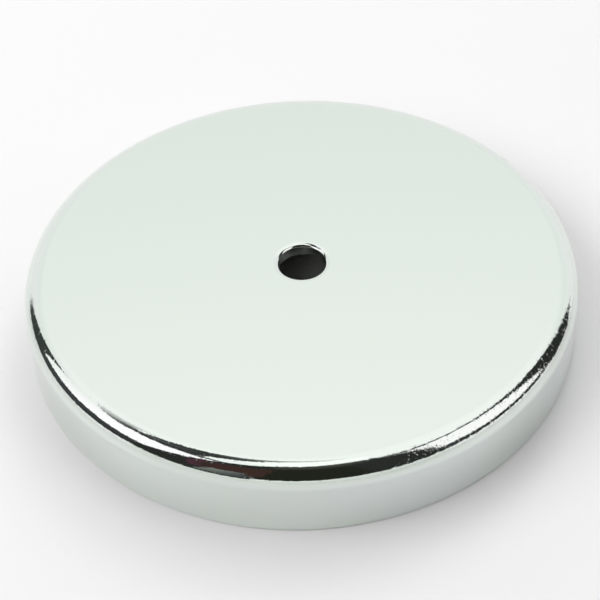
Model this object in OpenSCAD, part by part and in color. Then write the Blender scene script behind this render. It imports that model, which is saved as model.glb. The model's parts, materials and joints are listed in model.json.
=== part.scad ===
// Round pull magnet: a ferrite ring glued into a drawn and plated steel cup.
// The cup carries the flux round to its rim, so the rim and the magnet face
// grip the work together. It stands on its rim, at z = 0, and +Z is its axis.

/* [Cup] */
// Outside diameter of the cup
cup_d = 81; // [70:0.5:100]
// Height from the rim to the top face
cup_h = 11.2; // [9:0.1:16]
// Thickness of the steel sheet, the same in the top and the side
sheet_t = 2; // [1.2:0.1:2.6]
// Inside radius of the bend between the top and the side
bend_r = 1.1; // [0.4:0.1:2]
// Rounding of both edges of the trimmed rim
rim_r = 0.35; // [0.1:0.05:0.5]

/* [Centre hole] */
// Diameter of the punched hole
hole_d = 7; // [4:0.1:14]
// Radius of the lip that the punch rolled in round the top of the hole
lip_r = 1.1; // [0.8:0.1:3]
// Depth that the lip falls before the straight wall of the hole
lip_drop = 0.35; // [0.1:0.05:0.6]
// Break of the hole's lower edge
burr_break = 0.2; // [0.1:0.05:0.4]

/* [Ring magnet] */
// Diameter of the bore, which leaves room for a nut or a screw head
bore_d = 32; // [22:0.5:40]
// Open gap between the ring and the side of the cup
side_gap = 3.5; // [3:0.1:6]
// Depth of the magnet face inside the rim
recess = 0.15; // [0.05:0.05:0.6]
// Chamfer on all four edges of the pressed ring
ring_chamfer = 0.6; // [0.2:0.1:1.2]

/* [Adhesive] */
// Thickness of the glue line between the ring and the cup
glue_t = 0.15; // [0.05:0.05:0.4]
// Width of the bead squeezed out at the ring's two upper edges
bead_w = 0.7; // [0.3:0.1:1]
// Radius of the bead's hollow face, in bead widths
bead_hollow = 1.6; // [1.1:0.1:3]

/* [Hidden] */
$fn = 180;

// How far a cut runs past the face that it opens
past = 1;

cup_r = cup_d / 2;
inside_r = cup_r - sheet_t;
ceiling_z = cup_h - sheet_t;
hole_r = hole_d / 2;
// Reach of the rolled lip outwards from the wall of the hole
lip_w = sqrt(pow(lip_r, 2) - pow(lip_r - lip_drop, 2));

ring_r = inside_r - side_gap;
bore_r = bore_d / 2;
ring_top_z = ceiling_z - glue_t;

// The bead's hollow face passes through both of its toes
hollow_r = bead_hollow * bead_w;
hollow_c = (bead_w + sqrt(2 * pow(hollow_r, 2) - pow(bead_w, 2))) / 2;

steel_colour = [0.76, 0.82, 0.77];
ferrite_colour = [0.11, 0.11, 0.12];
glue_colour = [0.66, 0.52, 0.30];

// Quarter section, from the axis out, whose upper outer corner is rounded
module domed_section(radius, height, corner_r) {
  square([radius - corner_r, height]);
  square([radius, height - corner_r]);
  translate([radius - corner_r, height - corner_r])
    circle(corner_r);
}

// What rounding takes off the lower corner at x: side is 1 on its right, -1 on its left
module rim_waste(x, side) {
  translate([x, 0])
    mirror([side > 0 ? 0 : 1, 0])
      difference() {
        translate([-rim_r, -past])
          square([rim_r + past, rim_r + past]);
        translate([-rim_r, rim_r])
          circle(rim_r);
      }
}

// What the punch takes away: the hole, its rolled lip and the break below
module punch_section() {
  square([hole_r, cup_h + past]);
  difference() {
    translate([0, cup_h - lip_drop])
      square([hole_r + lip_w, lip_drop + past]);
    translate([hole_r + lip_w, cup_h - lip_r])
      circle(lip_r);
  }
  polygon([
    [0, ceiling_z - past],
    [hole_r + burr_break + past, ceiling_z - past],
    [hole_r, ceiling_z + burr_break],
    [0, ceiling_z + burr_break]
  ]);
}

// Half section of the drawn cup
module cup_section() {
  difference() {
    domed_section(cup_r, cup_h, bend_r + sheet_t);
    translate([0, -past])
      domed_section(inside_r, ceiling_z + past, bend_r);
    punch_section();
    rim_waste(cup_r, 1);
    rim_waste(inside_r, -1);
  }
}

// Half section of the pressed ring, with its four chamfers
module ring_section() {
  polygon([
    [bore_r + ring_chamfer, recess],
    [ring_r - ring_chamfer, recess],
    [ring_r, recess + ring_chamfer],
    [ring_r, ring_top_z - ring_chamfer],
    [ring_r - ring_chamfer, ring_top_z],
    [bore_r + ring_chamfer, ring_top_z],
    [bore_r, ring_top_z - ring_chamfer],
    [bore_r, recess + ring_chamfer]
  ]);
}

// Hollow bead under the ceiling beside x: side is 1 on its right, -1 on its left
module bead_section(x, side) {
  translate([x, ceiling_z])
    mirror([side > 0 ? 0 : 1, 0])
      difference() {
        translate([-ring_chamfer, -bead_w])
          square([ring_chamfer + bead_w, bead_w]);
        translate([hollow_c, -hollow_c])
          circle(hollow_r);
      }
}

module steel_cup() {
  color(steel_colour)
    rotate_extrude()
      cup_section();
}

module ring_magnet() {
  color(ferrite_colour)
    rotate_extrude()
      ring_section();
}

// The glue fills the gap above the ring and wets its upper chamfers
module adhesive() {
  color(glue_colour)
    rotate_extrude()
      difference() {
        union() {
          translate([bore_r, ring_top_z - ring_chamfer])
            square([ring_r - bore_r, ring_chamfer + glue_t]);
          bead_section(ring_r, 1);
          bead_section(bore_r, -1);
        }
        ring_section();
      }
}

steel_cup();
ring_magnet();
adhesive();
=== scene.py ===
import json
import math
import bpy
import bmesh
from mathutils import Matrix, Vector


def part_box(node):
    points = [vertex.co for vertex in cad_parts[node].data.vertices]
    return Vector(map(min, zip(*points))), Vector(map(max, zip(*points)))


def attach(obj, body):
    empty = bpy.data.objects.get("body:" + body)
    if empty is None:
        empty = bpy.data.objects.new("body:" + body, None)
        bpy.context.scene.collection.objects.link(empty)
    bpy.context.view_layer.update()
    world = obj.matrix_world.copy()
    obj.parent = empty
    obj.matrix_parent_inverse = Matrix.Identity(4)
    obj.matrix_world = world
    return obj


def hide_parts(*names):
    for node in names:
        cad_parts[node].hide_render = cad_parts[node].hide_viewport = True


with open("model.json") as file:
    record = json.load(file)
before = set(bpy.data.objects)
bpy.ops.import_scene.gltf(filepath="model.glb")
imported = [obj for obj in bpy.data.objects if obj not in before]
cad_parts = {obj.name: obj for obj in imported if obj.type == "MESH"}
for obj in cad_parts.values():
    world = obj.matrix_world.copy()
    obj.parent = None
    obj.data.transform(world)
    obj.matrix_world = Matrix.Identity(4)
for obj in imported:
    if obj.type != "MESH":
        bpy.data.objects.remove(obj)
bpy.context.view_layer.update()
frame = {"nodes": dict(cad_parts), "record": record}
print("frame loaded:", ", ".join(sorted(frame["nodes"])))

mm = 0.001
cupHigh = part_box("steel_cup")[1]
ringLow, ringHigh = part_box("ring_magnet")
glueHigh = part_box("adhesive")[1]
mounts = {m["name"]: m["dims"] for m in frame["record"]["mounts"]}

cupRadius = cupHigh.x
topZ = cupHigh.z
ceilingZ = glueHigh.z  # the glue fills up to the underside of the sheet
sheet = topZ - ceilingZ
holeRadius = mounts["centre_hole"]["r_mm"] * mm
ringRadius = ringHigh.x
boreRadius = mounts["nut_pocket"]["r_mm"] * mm


# mesh tools shared by the turned pieces

mergeReach = 0.001 * mm
onRingReach = 0.01 * mm


def turned(corners, turns):
    # closed outline of (radius, height) corners, spun once round the axis
    mesh = bmesh.new()
    verts = [mesh.verts.new((radius, 0, height)) for radius, height in corners]
    edges = [mesh.edges.new(pair) for pair in zip(verts, verts[1:] + verts[:1])]
    bmesh.ops.spin(mesh, geom=verts + edges, cent=(0, 0, 0), axis=(0, 0, 1),
                   angle=2 * math.pi, steps=turns, use_merge=True)
    bmesh.ops.remove_doubles(mesh, verts=mesh.verts, dist=mergeReach)
    bmesh.ops.recalc_face_normals(mesh, faces=mesh.faces)
    return mesh


def roundRing(mesh, corner, size, segments):
    # rounds the edge ring that runs through one corner of the outline
    def onRing(vert):
        gap = Vector((math.hypot(vert.co.x, vert.co.y), vert.co.z)) - Vector(corner)
        return gap.length < onRingReach
    ring = [edge for edge in mesh.edges if all(onRing(vert) for vert in edge.verts)]
    bmesh.ops.bevel(mesh, geom=ring, offset=size, offset_type="OFFSET", affect="EDGES",
                    segments=segments, profile=0.5, material=-1)


def makePiece(name, mesh, material, sharpAngle=25):
    for face in mesh.faces:
        face.smooth = True
    data = bpy.data.meshes.new(name)
    mesh.to_mesh(data)
    mesh.free()
    data.set_sharp_from_angle(angle=math.radians(sharpAngle))
    piece = bpy.data.objects.new(name, data)
    bpy.context.scene.collection.objects.link(piece)
    data.materials.append(material)
    return piece


# node tools shared by the materials

class Shading:
    # one material's node tree, with short ways to add to it
    def __init__(self, name):
        self.material = bpy.data.materials.new(name)
        self.material.use_nodes = True
        self.tree = self.material.node_tree
        self.shader = self.tree.nodes["Principled BSDF"]
        coords = self.tree.nodes.new("ShaderNodeTexCoord")
        self.place = coords.outputs["Object"]
        split = self.add("ShaderNodeSeparateXYZ", Vector=self.place)
        self.height = split.outputs["Z"]
        flat = self.add("ShaderNodeCombineXYZ", X=split.outputs["X"], Y=split.outputs["Y"])
        self.outward = flat.outputs[0]
        self.radius = self.vectorMath("LENGTH", self.outward).outputs["Value"]

    def add(self, kind, **inputs):
        node = self.tree.nodes.new(kind)
        for key, value in inputs.items():
            self.feed(node.inputs[key], value)
        return node

    def feed(self, socket, value):
        if isinstance(value, bpy.types.NodeSocket):
            self.tree.links.new(value, socket)
        else:
            socket.default_value = value

    def math(self, operation, *values):
        node = self.tree.nodes.new("ShaderNodeMath")
        node.operation = operation
        for socket, value in zip(node.inputs, values):
            self.feed(socket, value)
        return node.outputs[0]

    def vectorMath(self, operation, *values):
        node = self.tree.nodes.new("ShaderNodeVectorMath")
        node.operation = operation
        for socket, value in zip(node.inputs, values):
            self.feed(socket, value)
        return node

    def ramp(self, value, start, end, low=0.0, high=1.0):
        node = self.add("ShaderNodeMapRange", Value=value)
        node.interpolation_type = "SMOOTHSTEP"
        for key, number in (("From Min", start), ("From Max", end), ("To Min", low), ("To Max", high)):
            node.inputs[key].default_value = number
        return node.outputs["Result"]

    def noise(self, size, detail=2.0, vector=None, roughness=0.5):
        # size is the pattern's grain in metres
        node = self.add("ShaderNodeTexNoise", Vector=vector or self.place, Scale=1 / size,
                        Detail=detail, Roughness=roughness)
        return node.outputs["Fac"]

    def wrapped(self, around, along):
        # object place stretched along the section of a turned piece, with no seam round the axis
        unit = self.vectorMath("NORMALIZE", self.outward).outputs["Vector"]
        scaled = self.vectorMath("SCALE", unit)
        scaled.inputs["Scale"].default_value = around
        run = self.math("MULTIPLY", self.math("SUBTRACT", self.height, self.radius), along)
        rise = self.add("ShaderNodeCombineXYZ", Z=run)
        return self.vectorMath("ADD", scaled.outputs["Vector"], rise.outputs[0]).outputs["Vector"]

    def bump(self, height, depth, under=None):
        # depth is how far a height of 1 stands up, in metres
        node = self.add("ShaderNodeBump", Height=height, Distance=depth, Strength=1.0)
        if under is not None:
            self.feed(node.inputs["Normal"], under)
        return node.outputs["Normal"]

    def mix(self, amount, first, second):
        node = self.tree.nodes.new("ShaderNodeMix")
        node.data_type = "RGBA"
        self.feed(node.inputs[0], amount)
        self.feed(node.inputs[6], (*first, 1.0) if isinstance(first, tuple) else first)
        self.feed(node.inputs[7], (*second, 1.0) if isinstance(second, tuple) else second)
        return node.outputs[2]

    def finish(self, **inputs):
        for key, value in inputs.items():
            self.feed(self.shader.inputs[key.replace("_", " ")], value)
        return self.material


# steel cup: drawn sheet, punched hole, mirror plating

cup = {
    "bendInside": 1.1 * mm,
    "rimRound": 0.35 * mm,
    "rimSegments": 6,
    "lipRadius": 1.1 * mm,
    "lipDrop": 0.35 * mm,
    "lipEdge": 0.06 * mm,
    "lipEdgeSegments": 3,
    "holeBreak": 0.2 * mm,
    "turns": 320,
    "bendSegments": 28,
    "lipSegments": 10,
}

plating = {
    "colour": (0.76, 0.82, 0.765),
    "paintedReflectionColour": (0.76, 0.815, 0.80),    # painted reflection: a cooler tint in random clouds on the drawn side
    "tintSize": 15 * mm,
    "tintRange": (0.42, 0.62),
    "roughness": 0.03,
    "haze": 0.05,          # roughness that the duller clouds add
    "cloudSize": 14 * mm,
    "cloudRange": (0.45, 0.8),
    "rippleSize": 0.42 * mm,
    "rippleStretch": 0.8,
    "rippleDepth": 0.011 * mm,
    "rippleBase": 1.1,     # height of the fine ripple between the specks, as a share of theirs
    "speckRange": (0.57, 0.8),
    "calm": 0.4,           # share of the ripple on the smoother side, set after the photograph
    "calmWay": (-0.5, -0.87, 0.0),
    "calmRange": (0.62, 0.8),    # shares of the cup's radius over which the ripple calms
    "flatDepth": 0.02,     # share of the ripple that is left on the flat top
    "sideDepth": 0.12,     # and on the side
    "waveSize": 9 * mm,
    "waveDepth": 0.004 * mm,
}


def platedSteel():
    s = Shading("platedSteel")
    bendOutside = cup["bendInside"] + sheet
    onBend = s.ramp(s.radius, cupRadius - bendOutside * 1.1, cupRadius - bendOutside * 0.9,
                    plating["flatDepth"], 1.0)
    aboveSide = s.ramp(s.height, topZ - bendOutside * 1.15, topZ - bendOutside * 0.85,
                       plating["sideDepth"], 1.0)
    grain = s.noise(plating["rippleSize"], 3.0, s.wrapped(cupRadius, plating["rippleStretch"]))
    # specks where the grain peaks, over a finer ripple
    specks = s.ramp(grain, *plating["speckRange"])
    ripple = s.math("ADD", specks, s.math("MULTIPLY", grain, plating["rippleBase"]))
    ripple = s.math("MULTIPLY", ripple, s.math("MULTIPLY", onBend, aboveSide))
    calmReach = s.vectorMath("DOT_PRODUCT", s.place, plating["calmWay"]).outputs["Value"]
    calmStart, calmEnd = (cupRadius * share for share in plating["calmRange"])
    calmSide = s.ramp(calmReach, calmStart, calmEnd, 1.0, plating["calm"])
    ripple = s.math("MULTIPLY", ripple, calmSide)
    wave = s.bump(s.noise(plating["waveSize"], 1.0), plating["waveDepth"])
    normal = s.bump(ripple, plating["rippleDepth"], wave)
    cloud = s.ramp(s.noise(plating["cloudSize"], 3.0), *plating["cloudRange"],
                   plating["roughness"], plating["roughness"] + plating["haze"])
    # painted reflection: the drawn side gets a cooler colour in random clouds
    onSide = s.ramp(s.height, topZ - bendOutside * 1.1, topZ - bendOutside * 0.6, 1.0, 0.0)
    paintedTint = s.ramp(s.noise(plating["tintSize"], 2.0), *plating["tintRange"])
    colour = s.mix(s.math("MULTIPLY", paintedTint, onSide), plating["colour"], plating["paintedReflectionColour"])
    return s.finish(Base_Color=colour, Metallic=1.0, Roughness=cloud, Normal=normal)


def makeCup():
    c = cup
    lipCentre = holeRadius + math.sqrt(c["lipRadius"] ** 2 - (c["lipRadius"] - c["lipDrop"]) ** 2)
    lipTurn = math.acos(1 - c["lipDrop"] / c["lipRadius"])
    lip = []
    for step in range(c["lipSegments"] + 1):
        turn = lipTurn * (1 - step / c["lipSegments"])
        lip.append((lipCentre - c["lipRadius"] * math.sin(turn),
                    topZ - c["lipRadius"] * (1 - math.cos(turn))))
    inside = cupRadius - sheet
    corners = [
        (holeRadius, ceilingZ + c["holeBreak"]),
        *lip,
        (cupRadius, topZ),
        (cupRadius, 0),
        (inside, 0),
        (inside, ceilingZ),
        (holeRadius + c["holeBreak"], ceilingZ),
    ]
    mesh = turned(corners, c["turns"])
    roundRing(mesh, (cupRadius, topZ), c["bendInside"] + sheet, c["bendSegments"])
    roundRing(mesh, (inside, ceilingZ), c["bendInside"], c["bendSegments"] // 2)
    roundRing(mesh, (cupRadius, 0), c["rimRound"], c["rimSegments"])
    roundRing(mesh, (inside, 0), c["rimRound"], c["rimSegments"])
    roundRing(mesh, lip[0], c["lipEdge"], c["lipEdgeSegments"])
    piece = makePiece("steelCup", mesh, platedSteel())
    weighted = piece.modifiers.new("flatFacesRuleNormals", "WEIGHTED_NORMAL")
    weighted.keep_sharp = True
    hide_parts("steel_cup")
    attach(piece, "root")


makeCup()
print("steel cup made")


# ring magnet: pressed and sintered ferrite, its two faces ground

ring = {
    "chamfer": 0.6 * mm,
    "edgeRound": 0.12 * mm,
    "edgeSegments": 2,
    "turns": 240,
    "sharpAngle": 35,
}

ferrite = {
    "colour": (0.050, 0.050, 0.054),
    "paleColour": (0.085, 0.085, 0.09),
    "toneRange": (0.12, 0.42),
    "cloudSize": 9 * mm,
    "grainSize": 0.35 * mm,
    "grainDepth": 0.02 * mm,
    "grindSize": 0.18 * mm,
    "grindStretch": 0.02,
    "grindDepth": 0.012 * mm,
    "grindRange": (0.3, 0.7),
    "chipSize": 1.6 * mm,
    "chipRange": (0.68, 0.74),
    "chipDepth": 0.08 * mm,
    "roughness": 0.55,
}


def sinteredFerrite():
    s = Shading("sinteredFerrite")
    grain = s.noise(ferrite["grainSize"], 4.0)
    cloud = s.noise(ferrite["cloudSize"], 3.0)
    tone = s.math("MULTIPLY", grain, cloud)
    colour = s.mix(s.ramp(tone, *ferrite["toneRange"]), ferrite["colour"], ferrite["paleColour"])
    stretch = (ferrite["grindStretch"], 1.0, 1.0)
    stretched = s.vectorMath("MULTIPLY", s.place, stretch).outputs["Vector"]
    marks = s.noise(ferrite["grindSize"], 3.0, stretched)
    chips = s.ramp(s.noise(ferrite["chipSize"], 5.0), *ferrite["chipRange"], 1.0, 0.0)
    normal = s.bump(chips, ferrite["chipDepth"])
    normal = s.bump(grain, ferrite["grainDepth"], normal)
    normal = s.bump(marks, ferrite["grindDepth"], normal)
    smoothest, roughest = ferrite["roughness"] - 0.1, ferrite["roughness"] + 0.12
    rough = s.ramp(marks, *ferrite["grindRange"], smoothest, roughest)
    return s.finish(Base_Color=colour, Roughness=rough, Normal=normal)


def makeRing():
    low, high, cut = ringLow.z, ringHigh.z, ring["chamfer"]
    corners = [
        (boreRadius + cut, low), (ringRadius - cut, low),
        (ringRadius, low + cut), (ringRadius, high - cut),
        (ringRadius - cut, high), (boreRadius + cut, high),
        (boreRadius, high - cut), (boreRadius, low + cut),
    ]
    mesh = turned(corners, ring["turns"])
    for corner in corners:
        roundRing(mesh, corner, ring["edgeRound"], ring["edgeSegments"])
    piece = makePiece("ringMagnet", mesh, sinteredFerrite(), ring["sharpAngle"])
    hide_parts("ring_magnet")
    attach(piece, "root")


makeRing()
print("ring magnet made")


# adhesive: a thin cured layer with a bead squeezed out at both edges

glue = {
    "colour": (0.66, 0.52, 0.30, 1.0),
    "waveSize": 1.2 * mm,
    "waveDepth": 0.05 * mm,
    "roughness": 0.25,
    "clearness": 0.3,
}


def curedEpoxy():
    s = Shading("curedEpoxy")
    normal = s.bump(s.noise(glue["waveSize"], 2.0), glue["waveDepth"])
    return s.finish(Base_Color=glue["colour"], Roughness=glue["roughness"], Normal=normal,
                    Transmission_Weight=glue["clearness"], IOR=1.5)


frame["nodes"]["adhesive"].material_slots[0].material = curedEpoxy()
print("adhesive finished")


# studio: pale floor, pale surround, two soft boxes, and cards for the metal to show, placed
# where the photograph's bend reflects something dark, tinted or pale

studio = {
    "distance": 1.0,
    "cardSteps": (36, 12),
    "floorRadius": 3.0,
    "floorColour": (0.87, 0.87, 0.87, 1.0),
    # surround: sine of the elevation, then the colour there
    "surround": [
        (0.00, (0.99, 0.95, 0.99)),
        (0.45, (0.97, 0.97, 0.975)),
        (0.60, (0.94, 0.96, 0.945)),
        (0.77, (1.09, 1.08, 1.085)),
        (0.90, (1.13, 1.13, 1.13)),
    ],
}

black = (0.028, 0.03, 0.028)
soot = (0.02, 0.022, 0.016)
coal = (0.06, 0.063, 0.068)
slate = (0.048, 0.056, 0.052)
smoke = (0.11, 0.11, 0.12)
dusk = (0.13, 0.135, 0.13)
plum = (0.095, 0.038, 0.065)
rust = (0.06, 0.031, 0.027)
ash = (0.09, 0.093, 0.08)
glint = (0.28, 0.30, 0.27)
mist = (0.42, 0.42, 0.42)
pale = (0.97, 0.95, 0.97)
leftWhite = (1.30, 1.21, 1.30)
rightWhite = (1.22, 1.17, 1.21)
rearWhite = (1.12, 1.14, 1.13)

# each card has four corners, low left, low right, high right and high left, given as azimuth
# and elevation in degrees: azimuth 0 is behind the magnet and grows to the right. It glows in
# one colour, or in one for each corner that runs smoothly into the next.
cards = [
    {"name": "zenith", "corners": [(-180, 80), (180, 80), (180, 90), (-180, 90)],
     "glow": (1.26, 1.25, 1.25)},
    {"name": "leftBox", "corners": [(-117, 29), (-92, 23), (-92, 57), (-128, 64)], "glow": leftWhite,
     "nearer": 0.005},
    {"name": "leftBoxEdge", "corners": [(-92, 23), (-68, 17), (-52, 46), (-92, 57)],
     "glow": [leftWhite, rearWhite, pale, leftWhite], "nearer": 0.005},
    {"name": "rightBox", "corners": [(84, 17), (134, 27), (128, 68), (80, 53)], "glow": rightWhite},
    {"name": "frontRight", "corners": [(134, 9), (160, 11), (160, 80), (126, 77)], "glow": black},
    {"name": "frontMiddle", "corners": [(160, 11), (200, 13), (206, 80), (160, 80)], "glow": soot},
    {"name": "frontLeft", "corners": [(200, 9), (246, 8), (236, 67), (206, 80)], "glow": black},
    {"name": "frontRust", "corners": [(197, 24), (218, 30), (226, 60), (197, 60)],
     "glow": rust, "nearer": 0.01},
    {"name": "frontPlum", "corners": [(218, 26), (224, 26), (233, 56), (226, 56)],
     "glow": [rust, plum, plum, rust], "nearer": 0.012},
    {"name": "frontTop", "corners": [(150, 62), (206, 62), (206, 80), (140, 80)],
     "glow": [soot, soot, ash, ash], "nearer": 0.015},
    {"name": "frontWedge", "corners": [(202, 13), (221, 13), (217, 33), (204, 35)],
     "glow": [slate, dusk, glint, smoke], "nearer": 0.02},
    {"name": "frontFloor", "corners": [(131, -0.5), (243, -0.5), (243, 8), (131, 9)],
     "glow": (0.80, 0.82, 0.80), "nearer": -0.05},
    {"name": "leftStrip", "corners": [(-121, 9), (-72, -0.5), (-70, 18), (-117, 30)],
     "glow": [black, coal, coal, coal]},
    {"name": "leftUpright", "corners": [(-70, 13), (-52, 13), (-60.5, 40.5), (-64.5, 40.5)],
     "glow": slate, "nearer": 0.012},
    {"name": "leftFoot", "corners": [(-72, -1), (-54, -1), (-51, 13), (-75, 13)], "glow": slate},
    {"name": "leftArcStart", "corners": [(-127, 64.5), (-106, 62.3), (-106, 68.6), (-127, 67.5)],
     "glow": coal},
    {"name": "leftArc", "corners": [(-106, 62.3), (-85, 53.5), (-85, 76), (-106, 69.2)],
     "glow": [coal, black, black, coal]},
    {"name": "leftArcTip", "corners": [(-88, 52.4), (-77, 50), (-68, 61.5), (-85, 62)],
     "glow": [black, glint, smoke, black], "nearer": 0.008},
    {"name": "leftArcHaze", "corners": [(-77, 50), (-50, 56.5), (-40, 65), (-68, 61.5)],
     "glow": [mist, pale, pale, mist], "nearer": 0.006},
    {"name": "leftArcTop", "corners": [(-85, 60), (-50, 66.5), (-50, 80.7), (-85, 76)],
     "glow": [smoke, coal, black, black]},
    {"name": "rearArcStart", "corners": [(-50, 66.5), (-25, 69), (-25, 78), (-50, 80.7)],
     "glow": [black, dusk, dusk, black]},
    {"name": "rearArc", "corners": [(-25, 69), (-10, 70), (-10, 76.5), (-25, 78)],
     "glow": [dusk, mist, mist, dusk]},
    {"name": "rearArcEnd", "corners": [(-10, 70), (20, 76), (20, 82), (-10, 76.5)],
     "glow": [mist, rearWhite, rearWhite, mist]},
    {"name": "rightUpright", "corners": [(59.5, 14), (86, 13), (85.4, 43), (63.3, 44)],
     "glow": black, "nearer": 0.006},
    {"name": "rightFoot", "corners": [(68, 1.5), (82.5, 3), (86, 13), (59.5, 14)], "glow": black},
    {"name": "rightElbow", "corners": [(63.3, 44), (85.4, 43), (87, 51), (72, 55.3)],
     "glow": [black, black, black, coal], "nearer": 0.006},
    {"name": "rightArc", "corners": [(87, 51), (100, 58.6), (96, 62.5), (72, 55.3)],
     "glow": [black, coal, coal, coal], "nearer": 0.006},
    {"name": "rightArcTop", "corners": [(100, 58.6), (128, 65), (124, 72), (96, 62.5)],
     "glow": [coal, black, black, coal], "nearer": 0.006},
    {"name": "rightStripStart", "corners": [(86, 5), (107, 9), (107, 19), (86, 16.5)],
     "glow": [coal, black, black, coal]},
    {"name": "rightStrip", "corners": [(107, 9), (134, 10), (134, 28), (107, 19)],
     "glow": [black, coal, coal, black]},
]


def cardMaterial(card):
    material = bpy.data.materials.new(card["name"])
    material.use_nodes = True
    tree = material.node_tree
    tree.nodes.clear()
    output = tree.nodes.new("ShaderNodeOutputMaterial")
    surface = tree.nodes.new("ShaderNodeEmission")
    if isinstance(card["glow"], list):
        shade = tree.nodes.new("ShaderNodeAttribute")
        shade.attribute_name = "glow"
        tree.links.new(shade.outputs["Color"], surface.inputs["Color"])
    else:
        surface.inputs["Color"].default_value = (*card["glow"], 1.0)
    tree.links.new(surface.outputs[0], output.inputs["Surface"])
    return material


def across(corners, right, up):
    # the value between four corner values, at shares of the way right and up
    lowLeft, lowRight, highRight, highLeft = (Vector(corner) for corner in corners)
    return lowLeft.lerp(lowRight, right).lerp(highLeft.lerp(highRight, right), up)


def towards(azimuth, elevation):
    # unit vector from the magnet, both angles in degrees
    turn, rise = math.radians(azimuth), math.radians(elevation)
    return Vector((math.sin(turn) * math.cos(rise), math.cos(turn) * math.cos(rise), math.sin(rise)))


def makeCard(card):
    # a grid bent on to a large sphere, between its four corners
    mesh = bmesh.new()
    stepsAcross, stepsUp = studio["cardSteps"]
    bmesh.ops.create_grid(mesh, x_segments=stepsAcross, y_segments=stepsUp, size=0.5)
    reach = studio["distance"] - card.get("nearer", 0)
    glows = []
    for vert in mesh.verts:
        right, up = vert.co.x + 0.5, vert.co.y + 0.5
        vert.co = reach * towards(*across(card["corners"], right, up))
        if isinstance(card["glow"], list):
            glows.extend((*across(card["glow"], right, up), 1.0))
    data = bpy.data.meshes.new(card["name"])
    mesh.to_mesh(data)
    mesh.free()
    if glows:
        data.color_attributes.new("glow", "FLOAT_COLOR", "POINT").data.foreach_set("color", glows)
    piece = bpy.data.objects.new(card["name"], data)
    bpy.context.scene.collection.objects.link(piece)
    data.materials.append(cardMaterial(card))
    piece.visible_camera = False


# soft lamps that the metal doesn't show, in watts
lamps = [
    {"name": "leftLamp", "azimuth": -100, "elevation": 43,
     "distance": 0.88, "size": 0.7, "power": 3.0},
    {"name": "rightLamp", "azimuth": 18, "elevation": 42,
     "distance": 0.88, "size": 0.35, "power": 1.0},
    {"name": "frontFill", "azimuth": -150, "elevation": 43,
     "distance": 0.85, "size": 0.6, "power": 1.35},
]


def makeLamp(spec):
    data = bpy.data.lights.new(spec["name"], "AREA")
    data.energy = spec["power"]
    data.shape = "DISK"
    data.size = spec["size"]
    lamp = bpy.data.objects.new(spec["name"], data)
    lamp.location = spec["distance"] * towards(spec["azimuth"], spec["elevation"])
    lamp.rotation_euler = (-lamp.location).to_track_quat("-Z", "Y").to_euler()
    lamp.visible_glossy = False
    bpy.context.scene.collection.objects.link(lamp)


def makeFloor():
    mesh = bmesh.new()
    bmesh.ops.create_circle(mesh, cap_ends=True, segments=96, radius=studio["floorRadius"])
    data = bpy.data.meshes.new("floor")
    mesh.to_mesh(data)
    mesh.free()
    floor = bpy.data.objects.new("floor", data)
    bpy.context.scene.collection.objects.link(floor)
    s = Shading("palePaper")
    s.finish(Base_Color=studio["floorColour"], Roughness=0.4, Specular_IOR_Level=0.5)
    data.materials.append(s.material)


def makeWorld():
    world = bpy.data.worlds.new("paleSurround")
    bpy.context.scene.world = world
    world.use_nodes = True
    tree = world.node_tree
    tree.nodes.clear()
    coords = tree.nodes.new("ShaderNodeTexCoord")
    split = tree.nodes.new("ShaderNodeSeparateXYZ")
    climb = tree.nodes.new("ShaderNodeValToRGB")
    stops = climb.color_ramp.elements
    while len(stops) < len(studio["surround"]):
        stops.new(0.5)
    for stop, (rise, colour) in zip(stops, studio["surround"]):
        stop.position = rise
        stop.color = (*colour, 1.0)
    sky = tree.nodes.new("ShaderNodeBackground")
    output = tree.nodes.new("ShaderNodeOutputWorld")
    tree.links.new(coords.outputs["Generated"], split.inputs[0])
    tree.links.new(split.outputs["Z"], climb.inputs["Fac"])
    tree.links.new(climb.outputs["Color"], sky.inputs["Color"])
    tree.links.new(sky.outputs[0], output.inputs["Surface"])


for card in cards:
    makeCard(card)
for spec in lamps:
    makeLamp(spec)
makeFloor()
makeWorld()
print("studio built")


# camera: the photograph's angle, lens and roll

camera = {
    "place": Vector((0, -179.89, 178.66)) * mm,
    "aim": Vector((10.871, 16.312, 0)) * mm,
    "lens": 100.80,
    "roll": -0.249,
    "shift": (-70 / 600, -60 / 600),
}


def makeCamera():
    data = bpy.data.cameras.new("camera")
    data.lens = camera["lens"]
    data.shift_x, data.shift_y = camera["shift"]
    data.clip_start, data.clip_end = 0.01, 20
    eye = bpy.data.objects.new("camera", data)
    eye.location = camera["place"]
    look = (camera["aim"] - camera["place"]).to_track_quat("-Z", "Y").to_matrix()
    eye.rotation_euler = look.to_euler()
    eye.rotation_euler.rotate_axis("Z", math.radians(camera["roll"]))
    bpy.context.scene.collection.objects.link(eye)
    bpy.context.scene.camera = eye


makeCamera()
bpy.context.scene.view_settings.view_transform = "Standard"
print("camera set")
